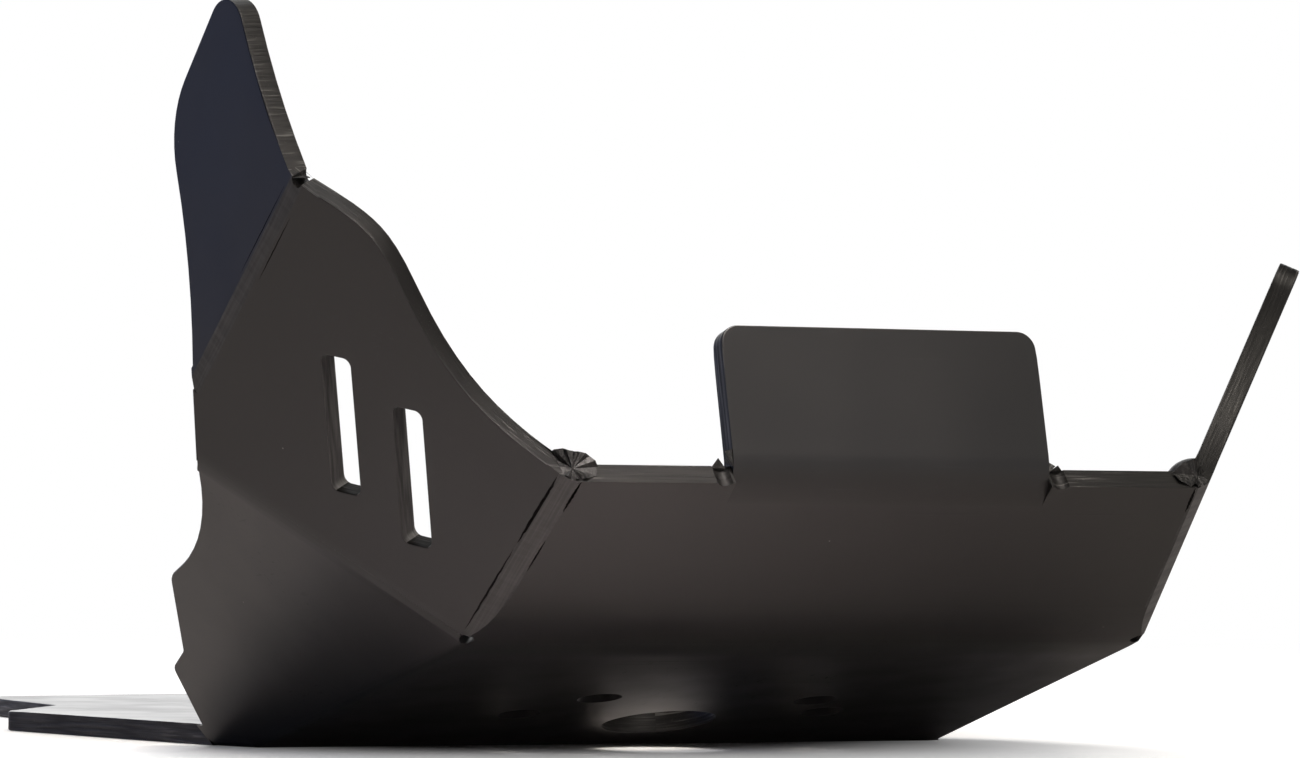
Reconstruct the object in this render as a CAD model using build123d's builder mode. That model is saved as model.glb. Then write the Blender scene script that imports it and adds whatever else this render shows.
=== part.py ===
from build123d import *

import os
from math import cos, radians, sin, tan

# Skid plate for a motorcycle: one sheet of hard black plastic, cut to shape and folded
# The front of the plate is towards -Y, and left and right are as seen from there

# Sheet
sheet = 8.0

# Side profile from the tail forwards, along the outside of the sheet
foot_y = -100.0
ramp_length = 193.0
ramp_angle = 13.0
front_length = 88.0
front_angle = 41.1
tab_length = 57.5
tab_lean = 14.5
foot_radius = 40.0
nose_radius = 85.0
tab_radius = 18.0

# Widths across the folds
brow_width = 250.0
nose_width = 269.0
foot_width = 294.0
tab_width = 124.0
tab_corner = 7.0

# Flat tail behind the side panels
tail_width = 374.0
tail_shoulder_y = 88.0
neck_width = 290.0
neck_y = 152.0
tail_y = 265.0
tail_bow = 22.0
tail_corner = 8.0

# Wings: flare and lower fold, then the outline on the wing from the nose corner
wing_flare = 29.5
hip_angle = 33.8
hip_length = 126.0
curve_low = (-31.5, 90.0)
curve_mid = (-13.5, 124.0)
curve_high = (-3.0, 153.0)
curve_start = 38.0
curve_end = 35.0
ear_fold_top = (24.5, 174.8)
ear_fold_foot = (97.4, 98.4)

# Plain right wing: its tip and the top of its rear edge
plain_tip = (-6.0, 160.0)
plain_heel = (100.0, 88.0)
plain_tip_radius = 12.0

# Ear on the left wing: outline down its fold and away from it
ear_fold_angle = 26.0
ear_front = 1.3
ear_bow = (-6.1, 35.4)
ear_tip = (-24.6, 81.9)
ear_rear = (47.6, 76.9)
ear_dip = (75.8, 31.1)
ear_tip_radius = 12.0
ear_rear_radius = 36.0
ear_relief = 5.0

# Side facets: outline back from the ramp's foot and up the facet
hip_dip = (-93.0, 85.5)
hip_corner = (-47.0, 75.5)
hip_corner_radius = 14.0
facet_step = (-10.5, 47.0)
facet_knuckle = (6.5, 43.2)
facet_knuckle_radius = 7.0
facet_end = (26.8, 7.4)

# Strap slots in the wings
slot_width = 12.5
slot_length = 52.5
slot_corner = 3.0
slot_tilt = 12.0
slot_front = (6.6, 64.0)
slot_rear = (32.7, 83.9)

# Folds and the small holes at their ends
seam_flat = 6.0
ear_flat = 6.0
ramp_fold_radius = 11.0
hip_fold_radius = 30.0
nose_relief = 5.0
nose_relief_out = 2.5
tab_relief = 8.0
tab_relief_rise = 2.5

# Lobes squeezed up inside the tops of the seams, upright where they face out
squeeze_radius = 11.0
squeeze_sink = 4.0
squeeze_drop = 5.0
squeeze_wall = 2.0

# Bolt holes and the drain hole on the ramp: across and back from the nose
bolt_hole = 9.0
bolt_sink = 17.0
bolt_sink_angle = 90.0
rear_bolt_left = (-63.5, 128.0)
rear_bolt_right = (63.5, 128.0)
front_bolt_left = (-43.0, 98.0)
front_bolt_right = (50.0, 105.0)
drain_hole = 44.0
drain_place = (2.5, 147.0)

# Reach of cutters past the sheet, and of panels past their folds before trimming
reach = 30.0
lap = 5.0


# Corners of the outside surface, on the left
def rise(length, angle):
    return Vector(0, -length * cos(radians(angle)), length * sin(radians(angle)))


foot_line = Vector(0, foot_y, 0)
nose_line = foot_line + rise(ramp_length, ramp_angle)
brow_line = nose_line + rise(front_length, front_angle)
tab_top = brow_line + rise(tab_length, 90 + tab_lean)
foot = foot_line - Vector(foot_width / 2, 0, 0)
nose = nose_line - Vector(nose_width / 2, 0, 0)
brow = brow_line - Vector(brow_width / 2, 0, 0)


# Planes of the left panels: x along a fold, y up the panel, z into the plate
def facing(origin, along, up):
    return Plane(origin=origin, x_dir=along, z_dir=along.cross(up).normalized())


def on(plane, point):
    return plane.from_local_coords((point[0], point[1], 0))


flare = Vector(-sin(radians(wing_flare)), cos(radians(wing_flare)), 0)
wing_plane = facing(nose, flare, brow - nose)
heel = on(wing_plane, (hip_length * cos(radians(hip_angle)), hip_length * sin(radians(hip_angle))))
facet_plane = facing(nose, foot - nose, heel - nose)
fold_top = on(wing_plane, ear_fold_top)
fold_foot = on(wing_plane, ear_fold_foot)
ear_facing = wing_plane.z_dir.rotate(Axis((0, 0, 0), fold_foot - fold_top), ear_fold_angle)
ear_plane = Plane(origin=fold_top, x_dir=fold_foot - fold_top, z_dir=ear_facing)
front_plane = facing(nose_line, Vector(1, 0, 0), nose_line - brow_line)
ramp_plane = facing(nose_line, Vector(1, 0, 0), foot_line - nose_line)
fold_length = (foot - nose).length
facet_root = on(facet_plane, (fold_length + facet_end[0], facet_end[1]))


# Central strip: tail, ramp and front as one bent profile
def side(point):
    return (point.Y, point.Z)


tail_end = Vector(0, tail_y + tail_bow + reach, 0)
front_far = nose_line + rise(front_length + tab_length + hip_length, front_angle)

with BuildPart() as strip:
    with BuildSketch(Plane.YZ):
        with BuildLine():
            FilletPolyline(
                side(tail_end), side(foot_line), side(nose_line), side(brow_line),
                radius=(foot_radius, nose_radius),
            )
            offset(amount=sheet, side=Side.RIGHT)
        make_face()
    extrude(amount=-tail_width)
    split(bisect_by=wing_plane, keep=Keep.TOP)
    split(bisect_by=facet_plane, keep=Keep.TOP)
    mirror(about=Plane.YZ)
    # Tail outline, seen from above
    with BuildSketch(Plane.XY) as plan:
        with BuildLine():
            Polyline(
                (0, front_far.Y), (-tail_width, front_far.Y), (-tail_width, facet_root.Y),
                (facet_root.X, facet_root.Y), (-tail_width / 2, tail_shoulder_y),
                (-neck_width / 2, neck_y), (-neck_width / 2, tail_y),
            )
            mirror(about=Plane.YZ)
            ThreePointArc((-neck_width / 2, tail_y), (0, tail_y + tail_bow), (neck_width / 2, tail_y))
        make_face()
        tail_ends = plan.vertices().filter_by_position(Axis.Y, tail_shoulder_y, tail_y)
        fillet(tail_ends, tail_corner)
    extrude(amount=front_far.Z, mode=Mode.INTERSECT)

# Room inside the strip's outside surface, which trims the side panels
with BuildPart() as room:
    with BuildSketch(Plane.YZ):
        with BuildLine():
            under = FilletPolyline(
                side(tail_end), side(foot_line), side(nose_line), side(front_far),
                radius=(foot_radius, nose_radius),
            )
            Polyline(under @ 1, (tail_end.Y, 2 * front_far.Z), under @ 0)
        make_face()
    extrude(amount=-tail_width)

# Left facet, cut back to the ramp, the flat bottom and the wing
heel_on_facet = facet_plane.to_local_coords(heel)
past_hip = Vector(-heel_on_facet.Y, heel_on_facet.X, 0).normalized() * lap


def from_foot(point):
    return (fold_length + point[0], point[1])


with BuildPart() as facet:
    with BuildSketch(facet_plane) as facet_outline:
        with BuildLine():
            hip_edge = ThreePointArc(heel_on_facet, from_foot(hip_dip), from_foot(hip_corner))
            FilletPolyline(
                hip_edge @ 1, from_foot(facet_step), from_foot(facet_knuckle), from_foot(facet_end),
                radius=facet_knuckle_radius,
            )
            Polyline(
                from_foot(facet_end), (fold_length + facet_end[0] + lap, -lap), (-lap, -lap),
                past_hip, heel_on_facet + past_hip, heel_on_facet,
            )
        make_face()
        fillet(facet_outline.vertices().sort_by_distance(from_foot(hip_corner))[0], hip_corner_radius)
    extrude(amount=sheet)
    split(bisect_by=wing_plane, keep=Keep.TOP)
    add(room.part, mode=Mode.INTERSECT)

# Wing outlines share the seam and the lower fold
brow_on_wing = wing_plane.to_local_coords(brow)
heel_on_wing = wing_plane.to_local_coords(heel)
past_seam = Vector(-brow_on_wing.Y, brow_on_wing.X, 0).normalized() * lap
past_heel = Vector(heel_on_wing.Y, -heel_on_wing.X, 0).normalized() * lap
fold_run = Vector(*ear_fold_foot) - Vector(*ear_fold_top)
fold_way = fold_run.normalized()
ear_way = Vector(-fold_way.Y, fold_way.X, 0)
ear_start = Vector(ear_front, 0)
ear_foot = Vector(fold_run.length, 0)


def heading(angle):
    return (cos(radians(angle)), sin(radians(angle)))


def past_ear(corner, point):
    step = (Vector(*point) - corner) * (lap / point[1])
    return Vector(*ear_fold_top) + fold_way * (corner + step).X + ear_way * lap


# Strap slots through a wing
with BuildPart() as slots:
    with BuildSketch(wing_plane):
        with Locations(slot_front, slot_rear):
            RectangleRounded(slot_width, slot_length, slot_corner, rotation=slot_tilt)
    extrude(amount=reach, both=True)

# Left wing, tall, with the fold of the ear across its top
with BuildPart() as wing:
    with BuildSketch(wing_plane):
        with BuildLine():
            Spline(
                brow_on_wing, curve_low, curve_mid, curve_high, ear_fold_top,
                tangents=(heading(curve_start), heading(curve_end)),
            )
            Polyline(
                ear_fold_top, past_ear(ear_start, ear_bow), past_ear(ear_foot, ear_dip), ear_fold_foot,
                heel_on_wing, heel_on_wing + past_heel, past_heel + past_seam,
                brow_on_wing + past_seam, brow_on_wing,
            )
        make_face()
    extrude(amount=sheet)
    add(slots.part, mode=Mode.SUBTRACT)
    split(bisect_by=facet_plane, keep=Keep.TOP)
    split(bisect_by=ear_plane, keep=Keep.TOP)
    add(room.part, mode=Mode.INTERSECT)

# Ear, cut back to the wing
with BuildPart() as ear:
    with BuildSketch(ear_plane) as ear_outline:
        with BuildLine():
            ThreePointArc(ear_foot, ear_dip, ear_rear)
            Line(ear_rear, ear_tip)
            ThreePointArc(ear_tip, ear_bow, ear_start)
            Polyline(ear_start, ear_start - (0, lap), ear_foot - (0, lap), ear_foot)
        make_face()
        fillet(ear_outline.vertices().sort_by_distance(ear_tip)[0], ear_tip_radius)
        fillet(ear_outline.vertices().sort_by_distance(ear_rear)[0], ear_rear_radius)
    extrude(amount=sheet)
    split(bisect_by=wing_plane, keep=Keep.TOP)

# Right wing, lower and plain, drawn on the left and mirrored
with BuildPart() as plain_wing:
    with BuildSketch(wing_plane) as plain_outline:
        with BuildLine():
            Spline(brow_on_wing, curve_low, curve_mid, plain_tip)
            Polyline(
                plain_tip, plain_heel, heel_on_wing, heel_on_wing + past_heel, past_heel + past_seam,
                brow_on_wing + past_seam, brow_on_wing,
            )
        make_face()
        fillet(plain_outline.vertices().sort_by_distance(plain_tip)[0], plain_tip_radius)
    extrude(amount=sheet)
    add(slots.part, mode=Mode.SUBTRACT)
    split(bisect_by=facet_plane, keep=Keep.TOP)
    add(room.part, mode=Mode.INTERSECT)
    mirror(about=Plane.YZ, mode=Mode.REPLACE)

# Tab bent back from the middle of the front, with rounded top corners
with BuildPart() as tab:
    with BuildSketch(Plane.YZ):
        with BuildLine():
            FilletPolyline(
                side((nose_line + brow_line) / 2), side(brow_line), side(tab_top), radius=tab_radius
            )
            offset(amount=sheet, side=Side.RIGHT)
        make_face()
    extrude(amount=tab_width / 2, both=True)
    tab_ends = tab.faces().sort_by(Axis.Z)[-1].edges().filter_by(Axis.X, reverse=True)
    fillet(tab_ends, tab_corner)


# Cutter along a fold: rounds its outside edge, or planes it flat where flat is given
def fold_cutter(start, end, inward_a, inward_b, radius=0, flat=0):
    half = radians(inward_a.get_angle(inward_b) / 2)
    setback = flat / 2 / cos(half) if flat else radius * tan(half)
    across = Plane(origin=start, x_dir=(inward_a + inward_b) * -1, z_dir=end - start)
    touch = (-setback * sin(half), setback * cos(half))
    other = (touch[0], -touch[1])
    with BuildPart() as cutter:
        with BuildSketch(across):
            with BuildLine():
                Polyline(touch, (setback, 0), other)
                if flat:
                    Line(other, touch)
                else:
                    ThreePointArc(other, (radius - radius / cos(half), 0), touch)
            make_face()
        extrude(amount=(end - start).length)
    return cutter.part


up = Vector(0, 0, 1)
ramp_in = ramp_plane.z_dir
front_in = front_plane.z_dir
past = (brow - nose).normalized() * lap
seam_cut = fold_cutter(nose - past, brow + past, front_in, wing_plane.z_dir, flat=seam_flat)
ramp_cut = fold_cutter(nose, foot, ramp_in, facet_plane.z_dir, radius=ramp_fold_radius)
foot_cut = fold_cutter(foot, facet_root, up, facet_plane.z_dir, radius=ramp_fold_radius)
hip_cut = fold_cutter(nose, heel, wing_plane.z_dir, facet_plane.z_dir, radius=hip_fold_radius)
ear_cut = fold_cutter(fold_top, fold_foot, wing_plane.z_dir, ear_plane.z_dir, flat=ear_flat)

# Lobe inside the top of the left seam
mitre = (front_in + wing_plane.z_dir) / (1 + front_in.dot(wing_plane.z_dir))
seam_way = (brow - nose).normalized()
squeeze_top = brow + mitre * sheet
squeeze_centre = squeeze_top - mitre.normalized() * squeeze_sink - seam_way * squeeze_drop

with BuildPart() as squeeze:
    with Locations(squeeze_centre):
        Sphere(squeeze_radius)
    for panel in (front_plane, wing_plane):
        upright = Plane(origin=squeeze_top, z_dir=(panel.z_dir.X, panel.z_dir.Y, 0))
        split(bisect_by=panel.offset(squeeze_wall), keep=Keep.TOP)
        split(bisect_by=upright.offset(-squeeze_wall), keep=Keep.TOP)

# Whole plate
with BuildPart() as plate:
    add(strip.part)
    # The front's square top gives way to the tab's bend
    with BuildSketch(front_plane):
        with Locations((0, -front_length)):
            Rectangle(tab_width, front_length / 2)
    extrude(amount=reach, both=True, mode=Mode.SUBTRACT)
    add(facet.part)
    mirror(facet.part, about=Plane.YZ)
    add(wing.part)
    add(plain_wing.part)
    add(ear.part)
    add(tab.part)
    add(squeeze.part)
    mirror(squeeze.part, about=Plane.YZ)
    for cut in (seam_cut, ramp_cut, foot_cut, hip_cut):
        add(cut, mode=Mode.SUBTRACT)
        mirror(cut, about=Plane.YZ, mode=Mode.SUBTRACT)
    add(ear_cut, mode=Mode.SUBTRACT)
    # Small holes at the ends of the folds
    for hand in (-1, 1):
        corner = Vector(hand * (nose_width / 2 + nose_relief_out), nose.Y, nose.Z)
        with Locations(Plane(origin=corner, z_dir=(-hand, 1, 1))):
            Cylinder(nose_relief / 2, 2 * reach, mode=Mode.SUBTRACT)
    with BuildSketch(wing_plane):
        with Locations(ear_fold_top):
            Circle(ear_relief / 2)
    extrude(amount=reach, both=True, mode=Mode.SUBTRACT)
    with BuildSketch(front_plane):
        with GridLocations(tab_width + tab_relief, 0, 2, 1):
            with Locations((0, -front_length - tab_relief_rise)):
                Circle(tab_relief / 2)
    extrude(amount=reach, both=True, mode=Mode.SUBTRACT)
    # Bolt holes, countersunk from below, and the drain hole
    with Locations(ramp_plane):
        with Locations(rear_bolt_left, rear_bolt_right, front_bolt_left, front_bolt_right):
            with Locations(Rotation(180, 0, 0)):
                CounterSinkHole(bolt_hole / 2, bolt_sink / 2, 2 * sheet, bolt_sink_angle)
        with Locations(drain_place):
            Hole(drain_hole / 2)

plate.part.label = "skid_plate"
os.makedirs("parts", exist_ok=True)
export_step(plate.part, "parts/skid_plate.step")
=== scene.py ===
from math import cos, radians, sin, sqrt

import bmesh
import bpy
from mathutils import Matrix, Vector
from mathutils.bvhtree import BVHTree


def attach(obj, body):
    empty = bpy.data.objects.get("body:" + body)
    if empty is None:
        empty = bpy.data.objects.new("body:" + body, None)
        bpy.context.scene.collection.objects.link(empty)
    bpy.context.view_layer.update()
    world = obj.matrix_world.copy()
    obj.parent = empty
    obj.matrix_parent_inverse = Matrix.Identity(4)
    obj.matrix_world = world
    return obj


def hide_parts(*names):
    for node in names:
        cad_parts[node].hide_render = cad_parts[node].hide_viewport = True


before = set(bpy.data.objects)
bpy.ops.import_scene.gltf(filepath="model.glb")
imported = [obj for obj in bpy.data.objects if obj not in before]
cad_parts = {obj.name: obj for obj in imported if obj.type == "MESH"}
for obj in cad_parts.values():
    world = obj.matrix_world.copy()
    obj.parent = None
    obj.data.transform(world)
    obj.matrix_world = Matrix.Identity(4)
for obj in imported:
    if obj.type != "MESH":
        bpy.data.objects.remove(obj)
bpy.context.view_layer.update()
scene = bpy.context.scene

# Sheet and folds of the left side, in metres and degrees, as the solid has them
SHEET = 0.008
NOSE = Vector((-0.1345, -0.28805, 0.04342))
BROW = Vector((-0.125, -0.35437, 0.10127))
WING_FLARE = 29.5
EAR_FOLD_TOP = (0.0245, 0.1748)
EAR_FOLD_FOOT = (0.0974, 0.0984)
EAR_FOLD_ANGLE = 26.0
FOLD_FLAT = 0.006
INSIDE = Vector((0, -0.15, 0.12))

# The left side is as drawn, and the right one is its mirror image
LEFT = 1
RIGHT = -1

# Lobe at the top of each seam, as the solid has it
LOBE_RADIUS = 0.011
LOBE_SINK = 0.004
LOBE_DROP = 0.005
LOBE_WALL = 0.002
CURVE_START = 38.0

# Pleats over the lobe, by their angles, and over the edges below it, by run along the edge and depth
LEFT_PLEATS = (4, 20, 36, 52, 66, 78, 92, 106, 122, 138, 154, 172)
RIGHT_PLEATS = (6, 40, 84, 120, 172)
WING_RIM = ((0.0095, 0.0052), (0.0062, 0.002), (0.0034, 0.001), (0.0014, 0.0006))
FRONT_RIM = ((0.0008, 0.0005), (0.0028, 0.0004), (0.0047, 0.0012), (0.0062, 0.0006), (0.0108, 0.0026))
PLEAT_OUT = 0.0013
PLEAT_MORE = 0.0014
PLEAT_IN = 0.0001
PLEAT_ROOT = 0.005
PLEAT_DROP = 0.0012

# Planed strip past the solid's own flat, and cracks beside it: start and end along the fold, width, depth
STRIP_MORE = 0.0012
STRIP_SLACK = 1.2
SEAM_CRACKS_FRONT = ((1.01, 0.82, 0.001, 0.002), (0.66, 0.46, 0.0007, 0.0015))
SEAM_CRACKS_WING = ((0.995, 0.57, 0.0012, 0.0009), (0.565, 0.03, 0.0007, 0.0009))
RIGHT_CRACKS = ((1.01, 0.85, 0.001, 0.0016),)
EAR_CRACKS_WING = ((0.12, 0.44, 0.0004, 0.0004),)
EAR_CRACKS_EAR = ((0.04, 0.5, 0.0004, 0.0004),)

# Form of every crack: steps, the half turn in which it opens and shuts, blunt ends, lift off the face, crook
CRACK_STEPS = 18
HALF_TURN = 3.1416
CRACK_BLUNT = 0.7
CRACK_LIFT = 0.0003
CROOK_TURN = 2.3
CROOK_START = 9000
CROOK_SHARE = 0.12

# Torn burrs at the ends of the tab's fold: three base corners and a tip
TAB_BURRS = (
    (
        (-0.0695, -0.3495, 0.1066), (-0.0638, -0.3495, 0.1064),
        (-0.0665, -0.346, 0.104), (-0.0672, -0.3505, 0.1101),
    ),
    (
        (-0.062, -0.352, 0.1072), (-0.062, -0.345, 0.1085),
        (-0.0615, -0.3505, 0.1135), (-0.0652, -0.3515, 0.1124),
    ),
    (
        (0.0615, -0.352, 0.106), (0.0615, -0.346, 0.107),
        (0.0615, -0.35, 0.1106), (0.0648, -0.3515, 0.1086),
    ),
    (
        (0.0635, -0.3493, 0.1068), (0.0685, -0.3493, 0.107),
        (0.066, -0.346, 0.104), (0.0663, -0.3505, 0.1089),
    ),
)
# The ear's burrs: into the sheet, up the ear and along its fold, from the top of the fold
EAR_BURRS = (
    ((0.0004, 0.0028, 0.0012), (0.0074, 0.0028, 0.0012), (0.004, 0.0045, 0.0016), (0.003, 0.0008, -0.0012)),
    ((0.0045, 0.0028, 0.0014), (0.0078, 0.0028, 0.0014), (0.006, 0.005, 0.0016), (0.0062, 0.0014, -0.0006)),
)

# Eased edges: their round, the angle from which an edge is eased, and spots that stay sharp with their reach
EDGE_ROUND = 0.0007
EDGE_STEPS = 2
EASED_FROM = 35.0
SHARP_SPOTS = (
    (Vector((0.066, -0.349, 0.105)), 0.0115),
    (Vector((0.153, -0.0728, 0.002)), 0.008),
    (BROW, 0.0075),
)

# Shading is smooth up to these angles, and faces this near to one plane are joined
SMOOTH_TO = 40.0
SMOOTH_PLANED_TO = 3.0
ONE_PLANE = 0.3

# Material slots of the plate
SKIN, SAWN, MILLED_PAINTED_LIGHT, PLANED, PAINTED_SHADE_CRACK = range(5)

# How faces are told apart: an edge has more than this many sheets behind it
EDGE_SHEETS = 1.6
# Walls of a slot face each other across its width, and its ends along its length
SLOT_ACROSS = 0.03
SLOT_ALONG = 0.056
# Cosines of faces that look the same way, of strips, and of faces that run along the ear's fold
SAME_WAY = 0.9999
STRIP_WAY = 0.9998
ALONG_FOLD = 0.02
# The ear's edges start this far past its fold
PAST_FOLD = 0.002

# Tolerances: points that are one, a ray's start off a face, and a wider one for faces that aren't quite flat
WELD = 1e-6
RAY_OFF = 1e-5
WIDE_OFF = 1e-4

# Kinds of edge in the third value of the grain
PLAIN_EDGE = 0.0
EAR_EDGE = 1.0
SLOT_END = -1.0

# Plastic: most values of a noise lie in this span, and the drawn lines of a tool in the next
PLASTIC_IOR = 1.54
NOISE_SPAN = (0.3, 0.7)
LINE_SPAN = (0.35, 0.7)
# Octaves of a noise: in most places, in fine ones and in the scuffs
DETAIL = 2
FINE_DETAIL = 3
SCUFF_DETAIL = 1.5

# The sheet's skin: features per metre and their heights, its two tones and its roughness
WAVES = 14
WAVE_RISE = 0.0004
BLOTCHES = 34
BLOTCH_RISE = 0.00006
GRAINS = 1100
GRAIN_RISE = 0.000006
SKIN_TONES = ((0.0072, 0.0069, 0.0071), (0.011, 0.0105, 0.0107))
SKIN_ROUGH = (0.335, 0.395)

# Scuffs on the skin: lines per metre and their turn, where they show, tone, cover and added roughness
SCUFF_LINES = (((7, 620, 620), (0.2, 0.5, 0.4)), ((620, 9, 620), (0.7, 0.1, 0.3)))
SCUFF_CUT = (0.67, 0.75)
SCUFF_PATCHES = 17
SCUFF_PATCH_CUT = (0.5, 0.65)
SCUFF_RISE = 0.00002
SCUFF_TONE = (0.03, 0.03, 0.031)
SCUFF_COVER = 0.35
SCUFF_ROUGH = 0.14

# Dust on the skin: cells per metre, a speck's size and solid core, the share of cells with one, and its look
DUST_CELLS = 62
DUST_SIZE = 0.026
DUST_CORE = 0.6
DUST_SHARE = 0.3
DUST_TONE = (0.3, 0.29, 0.28)
DUST_COVER = 0.55
DUST_ROUGH = 0.3

# Sawn edges: marks per metre along and across, their height, tones, roughness and shine
SAWN_ALONG = (40, 800, 0)
SAWN_ACROSS = (820, 50, 0)
SAWN_RISE = 0.00025
SAWN_TONES = ((0.005, 0.0048, 0.0047), (0.017, 0.0163, 0.0155))
SAWN_ROUGH = (0.56, 0.38)
SAWN_SHINE = 0.27
SLOT_END_SHINE = 0.04

# Torn crumbs and scraped lines on the sawn edges, each in patches
CRUMBS = 1500
CRUMB_CUT = (0.62, 0.72)
CRUMB_PATCHES = 60
CRUMB_PATCH_CUT = (0.45, 0.6)
CRUMB_RISE = 0.00003
CRUMB_TONE = (0.06, 0.058, 0.055)
CRUMB_COVER = 0.3
SCRAPE_CUT = (0.54, 0.66)
SCRAPE_PATCHES = 23
SCRAPE_PATCH_CUT = (0.5, 0.62)
SCRAPE_TONE = (0.1, 0.097, 0.093)

# Milled long walls of the strap slots: their tool lines, and tones paler than the skin that are painted
# light on the walls
MILLED_LINES = (60, 700, 0)
MILLED_RISE = 0.0002
MILLED_PAINTED_LIGHT_TONES = ((0.04, 0.039, 0.0385), (0.1, 0.097, 0.095))
MILLED_ROUGH = (0.58, 0.42)

# Strips planed along the folds
PLANED_LINES = (30, 900, 0)
PLANED_RISE = 0.00008
CHATTER_MARKS = (160, 40, 0)
CHATTER_RISE = 0.0007
PLANED_TONES = ((0.017, 0.0172, 0.0175), (0.038, 0.0382, 0.0385))
PLANED_ROUGH = (0.36, 0.48)

# Squeezed and torn plastic of the pleats and burrs
FIBRES = (500, 900, 260)
FIBRE_RISE = 0.0005
FIBRE_CUT = (0.2, 0.44)
TORN_BITS = 1300
TORN_RISE = 0.00015
TORN_TONES = ((0.006, 0.0059, 0.0058), (0.05, 0.049, 0.047))
TORN_ROUGH = (0.36, 0.6)

# Walls of the cracks, their tones darker than the sheet as painted shade
CRACK_BITS = 900
CRACK_PAINTED_SHADE_TONES = ((0.001, 0.001, 0.001), (0.004, 0.004, 0.004))
CRACK_ROUGH = 0.9
CRACK_SHINE = 0.15

# Camera: the photograph's place and angle
CAMERA_PLACE = Vector((-0.8627, -2.0876, 0.0883))
CAMERA_YAW = 23.89
CAMERA_RISE = 1.47
CAMERA_ROLL = 0.42
CAMERA_LENS = 152.3
CAMERA_SENSOR = 36.0
CAMERA_REACH = 50.0

# Floor: size and gap below the plate, tone in reflections and as seen, roughness and shine
WHITE = (1, 1, 1)
FLOOR_SIZE = 16.0
FLOOR_GAP = 0.0002
FLOOR_TONE = (0.67, 0.63, 0.62)
FLOOR_ROUGH = 0.9
FLOOR_SHINE = 0.1
# Distances from the middle between which the seen floor fades to the white background, and gets its lift
FLOOR_FADE = (0.9, 2.0)
FLOOR_OPEN = (0.12, 0.3)
FLOOR_LIFT = 0.6
# Places along Y between which the floor ahead starts to glow, and how much
FLOOR_AHEAD = (-1.8, -0.6)
FLOOR_GLOW = 0.4

# Room: its grey, and glows on its walls by direction, cosines where each starts and is full, and colour
ROOM_GREY = (0.01, 0.01, 0.01, 1)
ROOM_GLOWS = (
    ((-0.74, 0.67, 0.05), (0.7, 0.97), (0.1, 0.15, 0.34, 1)),
    ((0.4, 0.91, 0), (0.8, 0.97), (2.6, 2.6, 2.6, 1)),
    ((-0.3, 0.95, 0), (0.93, 0.99), (0.6, 0.62, 0.78, 1)),
    ((0.4, -0.91, 0.1), (0.6, 0.96), (0.45, 0.435, 0.44, 1)),
)

# Lamps: name, place, aim, width, spread in degrees, watts, colour
LAMPS = (
    ("back", (0, 0.7, 2.0), (0, -0.1, 0), 1.3, 180, 13, WHITE),
    ("front_top", (0.2, -1.2, 2.0), (-0.1, -0.4, 0), 1.3, 180, 24, (1, 0.92, 0.82)),
    ("left", (-1.1, -0.2, 2.0), (-0.8, -0.05, 0), 0.6, 44, 0.96, (1, 0.93, 0.88)),
    ("front_right", (0.6, -2.2, 1.9), (0, -0.4, 0), 0.9, 180, 4.5, (1, 0.93, 0.78)),
    ("front_low", (-0.1, -0.95, 1.1), (-0.14, -0.36, 0), 0.3, 22, 0.33, (1, 0.9, 0.88)),
    ("under_nose", (-0.1, -1.6, 0.4), (-0.05, -0.3, 0), 0.4, 30, 0.06, (1, 0.9, 0.88)),
)

# Directions of the left panels, worked out from the corners of the folds
right = Vector((1, 0, 0))
up = Vector((0, 0, 1))
flare = Vector((-sin(radians(WING_FLARE)), cos(radians(WING_FLARE)), 0))
seam = BROW - NOSE
seam_way = seam.normalized()
wing_in = flare.cross(seam).normalized()
wing_up = wing_in.cross(flare)
front_in = Vector((0, seam.z, -seam.y)).normalized()
ear_top = NOSE + flare * EAR_FOLD_TOP[0] + wing_up * EAR_FOLD_TOP[1]
ear_foot = NOSE + flare * EAR_FOLD_FOOT[0] + wing_up * EAR_FOLD_FOOT[1]
ear_way = (ear_foot - ear_top).normalized()
ear_in = Matrix.Rotation(radians(EAR_FOLD_ANGLE), 3, ear_way) @ wing_in
ear_up = ear_in.cross(ear_way)


# Node helpers
def new_material(name):
    material = bpy.data.materials.new(name)
    material.use_nodes = True
    tree = material.node_tree
    shader = next(node for node in tree.nodes if node.type == "BSDF_PRINCIPLED")
    return material, tree, shader


def new_plastic(name):
    material, tree, shader = new_material(name)
    shader.inputs["IOR"].default_value = PLASTIC_IOR
    return material, tree, shader


def add(tree, kind, **values):
    node = tree.nodes.new(kind)
    for key, value in values.items():
        if key in node.inputs:
            node.inputs[key].default_value = value
        else:
            setattr(node, key, value)
    return node


def object_place(tree):
    return add(tree, "ShaderNodeTexCoord").outputs["Object"]


def edge_grain(tree):
    return add(tree, "ShaderNodeAttribute", attribute_name="grain").outputs["Vector"]


def axes(tree, vector):
    node = add(tree, "ShaderNodeSeparateXYZ")
    tree.links.new(vector, node.inputs["Vector"])
    return node.outputs


def stretch(tree, vector, scale, turn=(0, 0, 0)):
    node = add(tree, "ShaderNodeMapping", Scale=scale, Rotation=turn)
    tree.links.new(vector, node.inputs["Vector"])
    return node.outputs["Vector"]


def noise(tree, vector, scale=1, detail=DETAIL):
    node = add(tree, "ShaderNodeTexNoise", Scale=scale, Detail=detail)
    tree.links.new(vector, node.inputs["Vector"])
    return node.outputs["Fac"]


def spread(tree, value, span, ends=(0, 1)):
    node = add(tree, "ShaderNodeMapRange", interpolation_type="SMOOTHSTEP")
    for name, number in zip(("From Min", "From Max", "To Min", "To Max"), (*span, *ends)):
        node.inputs[name].default_value = number
    tree.links.new(value, node.inputs["Value"])
    return node.outputs["Result"]


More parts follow.
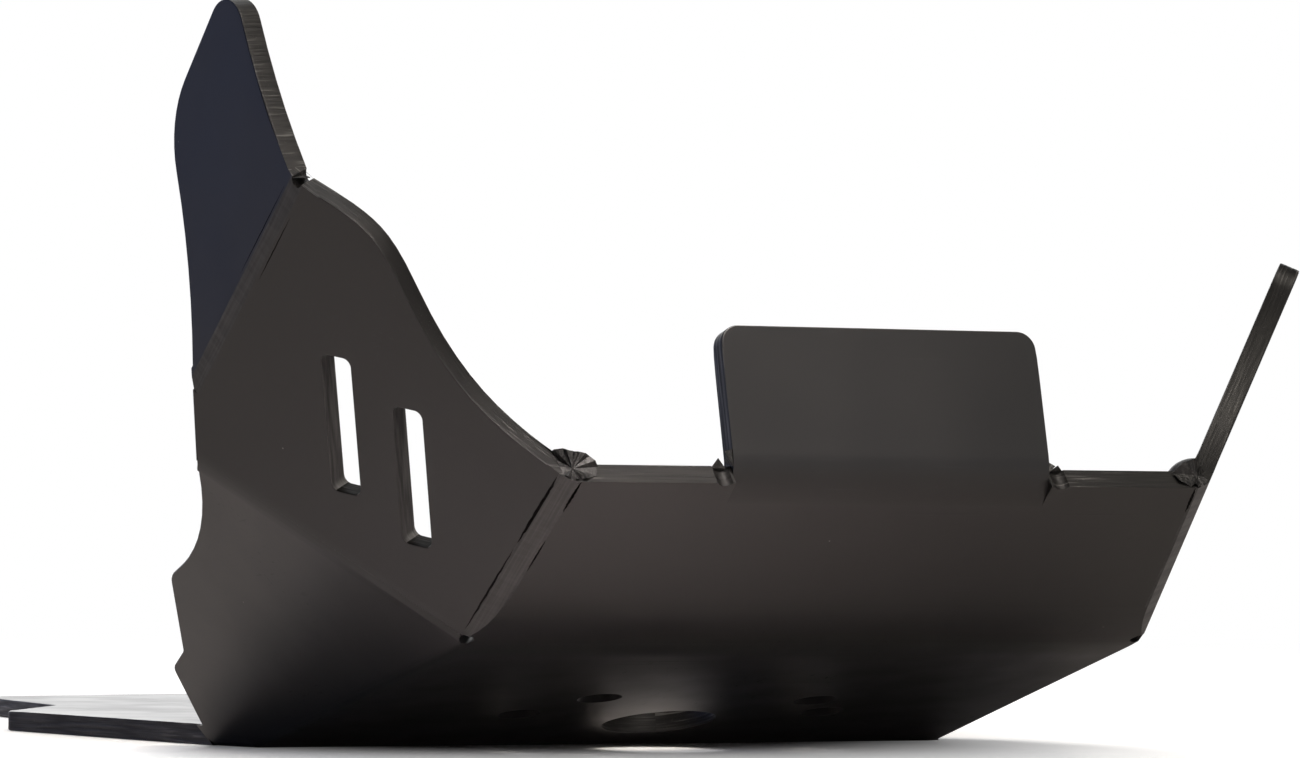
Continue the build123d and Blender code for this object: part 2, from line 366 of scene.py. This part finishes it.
def maths(tree, operation, a, b):
    node = add(tree, "ShaderNodeMath", operation=operation)
    for socket, value in zip(node.inputs, (a, b)):
        if isinstance(value, (int, float)):
            socket.default_value = value
        else:
            tree.links.new(value, socket)
    return node.outputs["Value"]


def blend(tree, share, a, b):
    node = add(tree, "ShaderNodeMix", data_type="FLOAT")
    for socket, value in (("Factor", share), ("A", a), ("B", b)):
        tree.links.new(value, node.inputs[socket])
    return node.outputs["Result"]


def tint(tree, share, a, b):
    node = add(tree, "ShaderNodeMix", data_type="RGBA")
    tree.links.new(share, node.inputs["Factor"])
    for socket, value in ((node.inputs["A"], a), (node.inputs["B"], b)):
        if isinstance(value, tuple):
            socket.default_value = (*value, 1)
        else:
            tree.links.new(value, socket)
    return node.outputs["Result"]


def relief(tree, heights):
    normal = None
    for height, distance in heights:
        node = add(tree, "ShaderNodeBump", Distance=distance)
        tree.links.new(height, node.inputs["Height"])
        if normal:
            tree.links.new(normal, node.inputs["Normal"])
        normal = node.outputs["Normal"]
    return normal


def dress(tree, shader, colour, rough, heights):
    tree.links.new(colour, shader.inputs["Base Color"])
    tree.links.new(rough, shader.inputs["Roughness"])
    tree.links.new(relief(tree, heights), shader.inputs["Normal"])


# Sparse round specks of dust, each about the same size, in a share of the cells
def dust_specks(tree, vector):
    cells = add(tree, "ShaderNodeTexVoronoi", Scale=DUST_CELLS)
    tree.links.new(vector, cells.inputs["Vector"])
    dots = spread(tree, cells.outputs["Distance"], (DUST_SIZE * DUST_CORE, DUST_SIZE), (1, 0))
    chosen = add(tree, "ShaderNodeSeparateColor")
    tree.links.new(cells.outputs["Color"], chosen.inputs["Color"])
    kept = maths(tree, "LESS_THAN", chosen.outputs["Red"], DUST_SHARE)
    return maths(tree, "MULTIPLY", dots, kept)


# Lines of scuffs in two directions, in patches
def scuff_lines(tree, place):
    scuffs = None
    for scale, turn in SCUFF_LINES:
        lines = noise(tree, stretch(tree, place, scale, turn), detail=SCUFF_DETAIL)
        lines = spread(tree, lines, SCUFF_CUT)
        scuffs = maths(tree, "MAXIMUM", scuffs, lines) if scuffs else lines
    patches = spread(tree, noise(tree, place, SCUFF_PATCHES), SCUFF_PATCH_CUT)
    return maths(tree, "MULTIPLY", scuffs, patches)


# Satin black skin of the sheet: soft waves and blotches, fine grain, scuffs and a little dust
def skin_material():
    material, tree, shader = new_plastic("satin_sheet")
    place = object_place(tree)
    wave = noise(tree, place, WAVES)
    blotch = noise(tree, place, BLOTCHES, detail=FINE_DETAIL)
    grain = noise(tree, place, GRAINS)
    scuffs = scuff_lines(tree, place)
    dust = dust_specks(tree, place)
    colour = tint(tree, blotch, *SKIN_TONES)
    colour = tint(tree, maths(tree, "MULTIPLY", scuffs, SCUFF_COVER), colour, SCUFF_TONE)
    colour = tint(tree, maths(tree, "MULTIPLY", dust, DUST_COVER), colour, DUST_TONE)
    rough = spread(tree, blotch, NOISE_SPAN, SKIN_ROUGH)
    rough = maths(tree, "ADD", rough, maths(tree, "MULTIPLY", scuffs, SCUFF_ROUGH))
    rough = maths(tree, "ADD", rough, maths(tree, "MULTIPLY", dust, DUST_ROUGH))
    heights = ((wave, WAVE_RISE), (blotch, BLOTCH_RISE), (grain, GRAIN_RISE), (scuffs, SCUFF_RISE))
    dress(tree, shader, colour, rough, heights)
    return material


# Sawn edge: lines along it, or stripes across it on the ear, and less shine at a slot's ends
def sawn_material():
    material, tree, shader = new_plastic("sawn_edge")
    grain = edge_grain(tree)
    kind = axes(tree, grain)["Z"]
    shine = spread(tree, kind, (SLOT_END, PLAIN_EDGE), (SLOT_END_SHINE, SAWN_SHINE))
    tree.links.new(shine, shader.inputs["Specular IOR Level"])
    along = noise(tree, stretch(tree, grain, SAWN_ALONG))
    across = noise(tree, stretch(tree, grain, SAWN_ACROSS))
    marks = blend(tree, kind, along, across)
    place = object_place(tree)
    crumbs = spread(tree, noise(tree, place, CRUMBS), CRUMB_CUT)
    patches = spread(tree, noise(tree, place, CRUMB_PATCHES), CRUMB_PATCH_CUT)
    crumbs = maths(tree, "MULTIPLY", crumbs, patches)
    scraped = spread(tree, marks, SCRAPE_CUT)
    patches = spread(tree, noise(tree, place, SCRAPE_PATCHES), SCRAPE_PATCH_CUT)
    scraped = maths(tree, "MULTIPLY", scraped, patches)
    colour = tint(tree, spread(tree, marks, LINE_SPAN), *SAWN_TONES)
    colour = tint(tree, maths(tree, "MULTIPLY", crumbs, CRUMB_COVER), colour, CRUMB_TONE)
    colour = tint(tree, scraped, colour, SCRAPE_TONE)
    rough = spread(tree, marks, NOISE_SPAN, SAWN_ROUGH)
    dress(tree, shader, colour, rough, ((marks, SAWN_RISE), (crumbs, CRUMB_RISE)))
    return material


# Long walls of the strap slots: milled lines, and a tone paler than the skin that is painted light
def milled_painted_light_material():
    material, tree, shader = new_plastic("milled_wall_painted_light")
    lines = noise(tree, stretch(tree, edge_grain(tree), MILLED_LINES))
    colour = tint(tree, spread(tree, lines, NOISE_SPAN), *MILLED_PAINTED_LIGHT_TONES)
    rough = spread(tree, lines, NOISE_SPAN, MILLED_ROUGH)
    dress(tree, shader, colour, rough, ((lines, MILLED_RISE),))
    return material


# Strips planed flat along the folds: drawn lines with the plane's chatter across them
def planed_material():
    material, tree, shader = new_plastic("planed_fold")
    grain = edge_grain(tree)
    lines = noise(tree, stretch(tree, grain, PLANED_LINES))
    chatter = noise(tree, stretch(tree, grain, CHATTER_MARKS))
    colour = tint(tree, spread(tree, lines, LINE_SPAN), *PLANED_TONES)
    rough = spread(tree, chatter, NOISE_SPAN, PLANED_ROUGH)
    dress(tree, shader, colour, rough, ((chatter, CHATTER_RISE), (lines, PLANED_RISE)))
    return material


# Squeezed and torn plastic: rough, and whitened in streaks
def torn_material():
    material, tree, shader = new_plastic("torn_plastic")
    place = object_place(tree)
    fibres = noise(tree, stretch(tree, place, FIBRES), detail=FINE_DETAIL)
    bits = noise(tree, place, TORN_BITS)
    pale = spread(tree, maths(tree, "MULTIPLY", fibres, bits), FIBRE_CUT)
    colour = tint(tree, pale, *TORN_TONES)
    rough = spread(tree, bits, NOISE_SPAN, TORN_ROUGH)
    dress(tree, shader, colour, rough, ((fibres, FIBRE_RISE), (bits, TORN_RISE)))
    return material


# Dull walls inside the cracks, coloured darker than the sheet as painted shade
def crack_painted_shade_material():
    material, tree, shader = new_material("crack")
    shader.inputs["Roughness"].default_value = CRACK_ROUGH
    shader.inputs["Specular IOR Level"].default_value = CRACK_SHINE
    colour = tint(tree, noise(tree, object_place(tree), CRACK_BITS), *CRACK_PAINTED_SHADE_TONES)
    tree.links.new(colour, shader.inputs["Base Color"])
    return material


# Mesh helpers
def mirrored(point, hand):
    return Vector((point.x * hand, point.y, point.z))


def piece_from(name, points, faces):
    mesh = bpy.data.meshes.new(name)
    mesh.from_pydata([tuple(p) for p in points], [], faces)
    work = bmesh.new()
    work.from_mesh(mesh)
    bmesh.ops.recalc_face_normals(work, faces=work.faces)
    work.to_mesh(mesh)
    work.free()
    piece = bpy.data.objects.new(name, mesh)
    scene.collection.objects.link(piece)
    return piece


# From a fold over one of its panels: the way along that panel, and how far the fold's flat reaches on it
def off_fold(way, panel_in, other_in):
    away = way.cross(panel_in)
    away = away if away.dot(other_in) > 0 else -away
    return away, FOLD_FLAT / 2 / cos(panel_in.angle(other_in) / 2)


# One crack: a narrow V along a line, widest in its middle and a little crooked
def crack(points, faces, start, end, out, width, depth):
    side = (end - start).cross(out).normalized()
    rows = []
    for step in range(1, CRACK_STEPS):
        share = step / CRACK_STEPS
        half_open = sin(share * HALF_TURN) ** CRACK_BLUNT * width / 2
        crook = sin(step * CROOK_TURN + width * CROOK_START) * width * CROOK_SHARE
        middle = start.lerp(end, share) + side * crook
        wide = half_open * (1 + CRACK_LIFT / depth)
        rows.append(len(points))
        points.append(middle + out * CRACK_LIFT - side * wide)
        points.append(middle + out * CRACK_LIFT + side * wide)
        points.append(middle - out * depth * half_open * 2 / width)
    tips = len(points)
    points.extend((start + out * CRACK_LIFT, end + out * CRACK_LIFT))
    for a, b in zip(rows, rows[1:]):
        faces.extend(((a, b, b + 1, a + 1), (a + 1, b + 1, b + 2, a + 2), (a + 2, b + 2, b, a)))
    for row, tip in ((rows[0], tips), (rows[-1], tips + 1)):
        faces.extend(((row, row + 1, tip), (row + 1, row + 2, tip), (row + 2, row, tip)))


# All cracks beside the planed strips of the folds
def crack_cutter():
    points, faces = [], []
    folds = (
        (NOSE, BROW, front_in, wing_in, SEAM_CRACKS_FRONT, SEAM_CRACKS_WING, LEFT),
        (NOSE, BROW, front_in, wing_in, RIGHT_CRACKS, (), RIGHT),
        (ear_top, ear_foot, wing_in, ear_in, EAR_CRACKS_WING, EAR_CRACKS_EAR, LEFT),
    )
    for low, high, in_a, in_b, cracks_a, cracks_b, hand in folds:
        out = mirrored(-(in_a + in_b).normalized(), hand)
        for panel_in, other_in, cracks in ((in_a, in_b, cracks_a), (in_b, in_a, cracks_b)):
            away, setback = off_fold((high - low).normalized(), panel_in, other_in)
            aside = away * (setback + STRIP_MORE)
            for start, end, width, depth in cracks:
                ends = [mirrored(low.lerp(high, share) + aside, hand) for share in (start, end)]
                crack(points, faces, *ends, out, width, depth)
    cutter = piece_from("cracks", points, faces)
    # The crack walls take the darker material, which is painted shade
    for face in cutter.data.polygons:
        face.material_index = PAINTED_SHADE_CRACK
    return cutter


# Cut the cracks out of the plate
def cut_cracks(piece):
    cutter = crack_cutter()
    cut = piece.modifiers.new("cracks", "BOOLEAN")
    cut.operation = "DIFFERENCE"
    cut.solver = "EXACT"
    cut.object = cutter
    bpy.context.view_layer.update()
    shaped = piece.evaluated_get(bpy.context.evaluated_depsgraph_get())
    piece.data = bpy.data.meshes.new_from_object(shaped)
    piece.modifiers.clear()
    bpy.data.objects.remove(cutter)


# Which faces are sawn edges, milled walls, planed strips, cracks or the sheet's own skin
def sort_faces(work):
    tree = BVHTree.FromBMesh(work)
    strips = [mirrored((front_in + wing_in).normalized(), hand) for hand in (LEFT, RIGHT)]
    strips.append((wing_in + ear_in).normalized())
    largest = {}
    for corners in work.calc_loop_triangles():
        a, b, c = (loop.vert.co for loop in corners)
        size = (b - a).cross(c - a).length
        if size > largest.get(corners[0].face, (0,))[0]:
            largest[corners[0].face] = (size, (a + b + c) / 3)
    for face, (_, middle) in largest.items():
        if face.material_index == PAINTED_SHADE_CRACK:
            continue
        behind = tree.ray_cast(middle - face.normal * RAY_OFF, -face.normal)[3]
        face.material_index = SKIN if behind is not None and behind <= EDGE_SHEETS * SHEET else SAWN
        facing = tree.ray_cast(middle + face.normal * RAY_OFF, face.normal, SLOT_ACROSS)[0]
        # Long slot walls get the milled material, whose paler tone is painted light
        if face.material_index == SAWN and facing and abs(middle.x) > abs(NOSE.x):
            face.material_index = MILLED_PAINTED_LIGHT
        if max(strip.dot(-face.normal) for strip in strips) > STRIP_WAY:
            face.material_index = PLANED


# Cut the panels beside each seam's planed strip, so that the strip can be wider than the solid's flat
def widen_strips(work):
    panels = ((front_in, wing_in), (wing_in, front_in))
    for hand, (panel_in, other_in) in [(hand, panel) for hand in (LEFT, RIGHT) for panel in panels]:
        away, setback = off_fold(seam_way, panel_in, other_in)
        origin, away, outward = (mirrored(v, hand) for v in (NOSE, away, -panel_in))
        panel = [f for f in work.faces if f.normal.dot(outward) > SAME_WAY]
        panel = [f for f in panel if min((v.co - origin).dot(away) for v in f.verts) < setback + WIDE_OFF]
        near = {item for f in panel for item in (f, *f.edges, *f.verts)}
        place = origin + away * (setback + STRIP_MORE)
        bmesh.ops.bisect_plane(work, geom=list(near), plane_co=place, plane_no=away)
        for face in work.faces:
            past = (face.calc_center_median() - place).dot(away)
            if face.normal.dot(outward) > SAME_WAY and -STRIP_MORE * STRIP_SLACK < past < 0:
                face.material_index = PLANED


# The ways along and across each edge face and planed strip
def grain_ways(work):
    ways = {}
    for face in work.faces:
        if face.material_index in (SAWN, MILLED_PAINTED_LIGHT):
            beside = [(e.calc_length(), f) for e in face.edges for f in e.link_faces]
            skins = [(length, f) for length, f in beside if f.material_index == SKIN]
            if skins:
                skin = max(skins, key=lambda pair: pair[0])[1]
                faces_in = skin.normal.dot(INSIDE - skin.calc_center_median()) > 0
                inward = skin.normal if faces_in else -skin.normal
                across = (inward - face.normal * inward.dot(face.normal)).normalized()
                ways[face] = (face.normal.cross(across), across)
        elif face.material_index == PLANED:
            way = ear_way if abs(face.normal.dot(ear_way)) < ALONG_FOLD else seam_way
            ways[face] = (way, face.normal.cross(way))
    return ways


# Whether an edge face is the ear's, a slot's end or neither
def edge_kind(face, origin, tree):
    middle = face.calc_center_median()
    start = middle + face.normal * WIDE_OFF
    if abs(start.x) > abs(NOSE.x) and tree.ray_cast(start, face.normal, SLOT_ALONG)[0]:
        return SLOT_END
    if (middle - ear_top).dot(ear_up) > PAST_FOLD and origin.x < NOSE.x and origin.z > BROW.z:
        return EAR_EDGE
    return PLAIN_EDGE


# Grain of the edge faces and strips: run along the edge, place across it, and the kind of edge
def lay_grain(work):
    layer = work.loops.layers.float_vector.new("grain")
    tree = BVHTree.FromBMesh(work)
    ways = grain_ways(work)
    waiting = set(ways)
    while waiting:
        first = min(waiting, key=lambda f: f.index)
        waiting.discard(first)
        queue = [(first, first.verts[0].co.copy(), 0.0)]
        while queue:
            face, origin, run = queue.pop()
            along, across = ways[face]
            low = min(v.co.dot(across) for v in face.verts)
            kind = edge_kind(face, origin, tree)
            for loop in face.loops:
                place = loop.vert.co
                loop[layer] = (run + (place - origin).dot(along), place.dot(across) - low, kind)
            for edge in face.edges:
                for other in edge.link_faces:
                    if other in waiting and other.material_index == face.material_index:
                        waiting.discard(other)
                        middle = (edge.verts[0].co + edge.verts[1].co) / 2
                        queue.append((other, middle, run + (middle - origin).dot(along)))


# Round the rims between the skin and its edges, and shade across all but the sharp ones
def ease_edges(work):
    spots = [(mirrored(place, hand), reach) for place, reach in SHARP_SPOTS for hand in (LEFT, RIGHT)]
    spots.append((ear_top, SHEET))
    rims = [
        edge for edge in work.edges
        if {f.material_index for f in edge.link_faces} in ({SKIN, SAWN}, {SKIN, MILLED_PAINTED_LIGHT}, {PLANED, SAWN})
        and edge.calc_face_angle(0) > radians(EASED_FROM)
        and all((v.co - place).length > reach for v in edge.verts for place, reach in spots)
    ]
    bmesh.ops.bevel(
        work, geom=rims, offset=EDGE_ROUND, segments=EDGE_STEPS, profile=0.5, affect="EDGES",
        clamp_overlap=False, material=-1,
    )
    for face in work.faces:
        face.smooth = True
    for edge in work.edges:
        planed = PLANED in (f.material_index for f in edge.link_faces)
        edge.smooth = edge.calc_face_angle(0) < radians(SMOOTH_PLANED_TO if planed else SMOOTH_TO)


# The plate: the solid's own mesh with cracks and eased edges, its kinds of face told apart
def plate_piece():
    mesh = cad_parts["skid_plate"].data.copy()
    mesh.materials.clear()
    for make in (skin_material, sawn_material, milled_painted_light_material, planed_material, crack_painted_shade_material):
        mesh.materials.append(make())
    work = bmesh.new()
    work.from_mesh(mesh)
    bmesh.ops.remove_doubles(work, verts=work.verts, dist=WELD)
    work.to_mesh(mesh)
    work.free()
    piece = bpy.data.objects.new("plate", mesh)
    scene.collection.objects.link(piece)
    cut_cracks(piece)

    work = bmesh.new()
    work.from_mesh(piece.data)
    bmesh.ops.remove_doubles(work, verts=work.verts, dist=WELD)
    bmesh.ops.dissolve_limit(
        work, angle_limit=radians(ONE_PLANE), verts=work.verts, edges=work.edges, delimit={"MATERIAL"}
    )
    sort_faces(work)
    widen_strips(work)
    lay_grain(work)
    ease_edges(work)
    work.to_mesh(piece.data)
    work.free()
    normals = piece.modifiers.new("normals", "WEIGHTED_NORMAL")
    normals.keep_sharp = True
    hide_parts("skid_plate")
    return piece


# Pleats of squeezed plastic round the top of a seam: over the lobe, then over the edges below it
def seam_pleats(name, hand, angles):
    mitre = (front_in + wing_in) / (1 + front_in.dot(wing_in))
    top = BROW + mitre * SHEET
    centre = top - mitre.normalized() * LOBE_SINK - seam_way * LOBE_DROP
    back = Vector((front_in.x, front_in.y, 0)).normalized()
    in_wing = Vector((wing_in.x, wing_in.y, 0)).normalized()
    lean = (LOBE_WALL * in_wing.y - LOBE_WALL) / in_wing.x
    apex = top + Vector((lean, -LOBE_WALL, -PLEAT_DROP))
    aside = Vector((-in_wing.y, in_wing.x, 0))
    rim = []
    for angle in angles:
        turn = radians(angle)
        way = (right if angle <= 90 else -aside) * cos(turn) + up * sin(turn)
        inside = (apex - centre).dot(way)
        reach = sqrt(inside ** 2 - (apex - centre).length_squared + LOBE_RADIUS ** 2) - inside
        reach += PLEAT_MORE * abs(cos(turn))
        rim.append((apex + way * reach, -back if angle <= 90 else -in_wing))
    turn = radians(CURVE_START)
    curve_way = flare * cos(turn) + wing_up * sin(turn)
    curve_out = wing_up * cos(turn) - flare * sin(turn)
    rim.extend((BROW + curve_way * run + wing_in * deep, curve_out) for run, deep in WING_RIM)
    front_out = Vector((0, seam.y, seam.z)).normalized()
    rim.extend((BROW + right * run + front_in * deep, front_out) for run, deep in FRONT_RIM)
    points = [apex - (back + in_wing) * PLEAT_OUT / 2, apex - seam_way * PLEAT_ROOT]
    for count, (place, out) in enumerate(rim):
        points.append(place + out * (PLEAT_OUT if count % 2 else PLEAT_IN))
    faces = []
    for count in range(len(rim)):
        this, following = 2 + count, 2 + (count + 1) % len(rim)
        faces.extend(((0, this, following), (1, following, this)))
    return piece_from(name, [mirrored(p, hand) for p in points], faces)


# Burrs where the tab and the ear leave the sheet
def burr_piece():
    points, faces = [], []
    ear_burrs = [
        [ear_top + ear_in * deep + ear_up * high + ear_way * run for deep, high, run in corners]
        for corners in EAR_BURRS
    ]
    for corners in (*TAB_BURRS, *ear_burrs):
        a = len(points)
        points.extend(Vector(c) for c in corners)
        faces.extend(((a, a + 1, a + 2), (a, a + 1, a + 3), (a + 1, a + 2, a + 3), (a + 2, a, a + 3)))
    return piece_from("burrs", points, faces)


# Shown to the camera, one shader takes the place of another by a share
def mix_shaders(tree, share, usual, shown, end):
    mix = add(tree, "ShaderNodeMixShader")
    tree.links.new(share, mix.inputs["Fac"])
    tree.links.new(usual.outputs[0], mix.inputs[1])
    tree.links.new(shown.outputs[0], mix.inputs[2])
    tree.links.new(mix.outputs[0], tree.nodes[end].inputs["Surface"])


# Floor: seen directly it is white, and far from the object it melts into the white background
def floor_piece():
    bpy.ops.mesh.primitive_plane_add(size=FLOOR_SIZE, location=(0, 0, -FLOOR_GAP))
    floor = bpy.context.object
    floor.name = "floor"
    material, tree, shader = new_material("floor_white")
    shader.inputs["Roughness"].default_value = FLOOR_ROUGH
    shader.inputs["Specular IOR Level"].default_value = FLOOR_SHINE
    shader.inputs["Emission Color"].default_value = (*WHITE, 1)
    seen = add(tree, "ShaderNodeLightPath").outputs["Is Camera Ray"]
    tree.links.new(tint(tree, seen, FLOOR_TONE, WHITE), shader.inputs["Base Color"])
    place = object_place(tree)
    ahead = spread(tree, axes(tree, place)["Y"], FLOOR_AHEAD, (FLOOR_GLOW, 0))
    far = add(tree, "ShaderNodeVectorMath", operation="LENGTH")
    tree.links.new(place, far.inputs[0])
    lift = spread(tree, far.outputs["Value"], FLOOR_OPEN, (0, FLOOR_LIFT))
    lift = maths(tree, "MULTIPLY", seen, lift)
    tree.links.new(maths(tree, "MAXIMUM", ahead, lift), shader.inputs["Emission Strength"])
    fade = maths(tree, "MULTIPLY", spread(tree, far.outputs["Value"], FLOOR_FADE), seen)
    white = add(tree, "ShaderNodeEmission", Color=(*WHITE, 1), Strength=1.0)
    mix_shaders(tree, fade, shader, white, "Material Output")
    floor.data.materials.append(material)


# Round lamp that shines from its place to its aim
def area_light(name, place, aim, size, spread_by, power, colour):
    lamp = bpy.data.lights.new(name, "AREA")
    lamp.shape = "DISK"
    lamp.size = size
    lamp.spread = radians(spread_by)
    lamp.energy = power
    lamp.color = colour
    holder = bpy.data.objects.new(name, lamp)
    holder.location = place
    holder.rotation_euler = (Vector(aim) - Vector(place)).to_track_quat("-Z", "Y").to_euler()
    scene.collection.objects.link(holder)


# Room round the object: one grey with a few broad glows on its walls, white where the camera sees it
def studio():
    world = bpy.data.worlds.new("studio")
    scene.world = world
    world.use_nodes = True
    tree = world.node_tree
    walls = tree.nodes["Background"]
    place = add(tree, "ShaderNodeTexCoord").outputs["Generated"]
    room = None
    for direction, span, colour in ROOM_GLOWS:
        toward = add(tree, "ShaderNodeVectorMath", operation="DOT_PRODUCT")
        toward.inputs[1].default_value = Vector(direction).normalized()
        tree.links.new(place, toward.inputs[0])
        glow = add(tree, "ShaderNodeMix", data_type="RGBA", blend_type="ADD")
        glow.inputs["A"].default_value = ROOM_GREY
        glow.inputs["B"].default_value = colour
        tree.links.new(spread(tree, toward.outputs["Value"], span), glow.inputs["Factor"])
        if room:
            tree.links.new(room, glow.inputs["A"])
        room = glow.outputs["Result"]
    tree.links.new(room, walls.inputs["Color"])
    seen = add(tree, "ShaderNodeLightPath").outputs["Is Camera Ray"]
    white = add(tree, "ShaderNodeBackground", Color=(*WHITE, 1), Strength=1.0)
    mix_shaders(tree, seen, walls, white, "World Output")
    for lamp in LAMPS:
        area_light(*lamp)


# Camera where the photograph was taken from
def photo_camera():
    data = bpy.data.cameras.new("photo")
    data.lens = CAMERA_LENS
    data.sensor_width = CAMERA_SENSOR
    data.sensor_fit = "HORIZONTAL"
    data.clip_end = CAMERA_REACH
    camera = bpy.data.objects.new("photo", data)
    yaw, rise = radians(CAMERA_YAW), radians(CAMERA_RISE)
    ahead = Vector((sin(yaw) * cos(rise), cos(yaw) * cos(rise), sin(rise)))
    turn = ahead.to_track_quat("-Z", "Y").to_matrix() @ Matrix.Rotation(radians(CAMERA_ROLL), 3, "Z")
    camera.matrix_world = Matrix.Translation(CAMERA_PLACE) @ turn.to_4x4()
    scene.collection.objects.link(camera)
    scene.camera = camera


plate = plate_piece()
torn_pieces = [
    seam_pleats("left_pleats", LEFT, LEFT_PLEATS),
    seam_pleats("right_pleats", RIGHT, RIGHT_PLEATS),
    burr_piece(),
]
torn = torn_material()
for piece in torn_pieces:
    piece.data.materials.append(torn)
for piece in (plate, *torn_pieces):
    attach(piece, "root")
floor_piece()
studio()
photo_camera()
scene.view_settings.view_transform = "Standard"
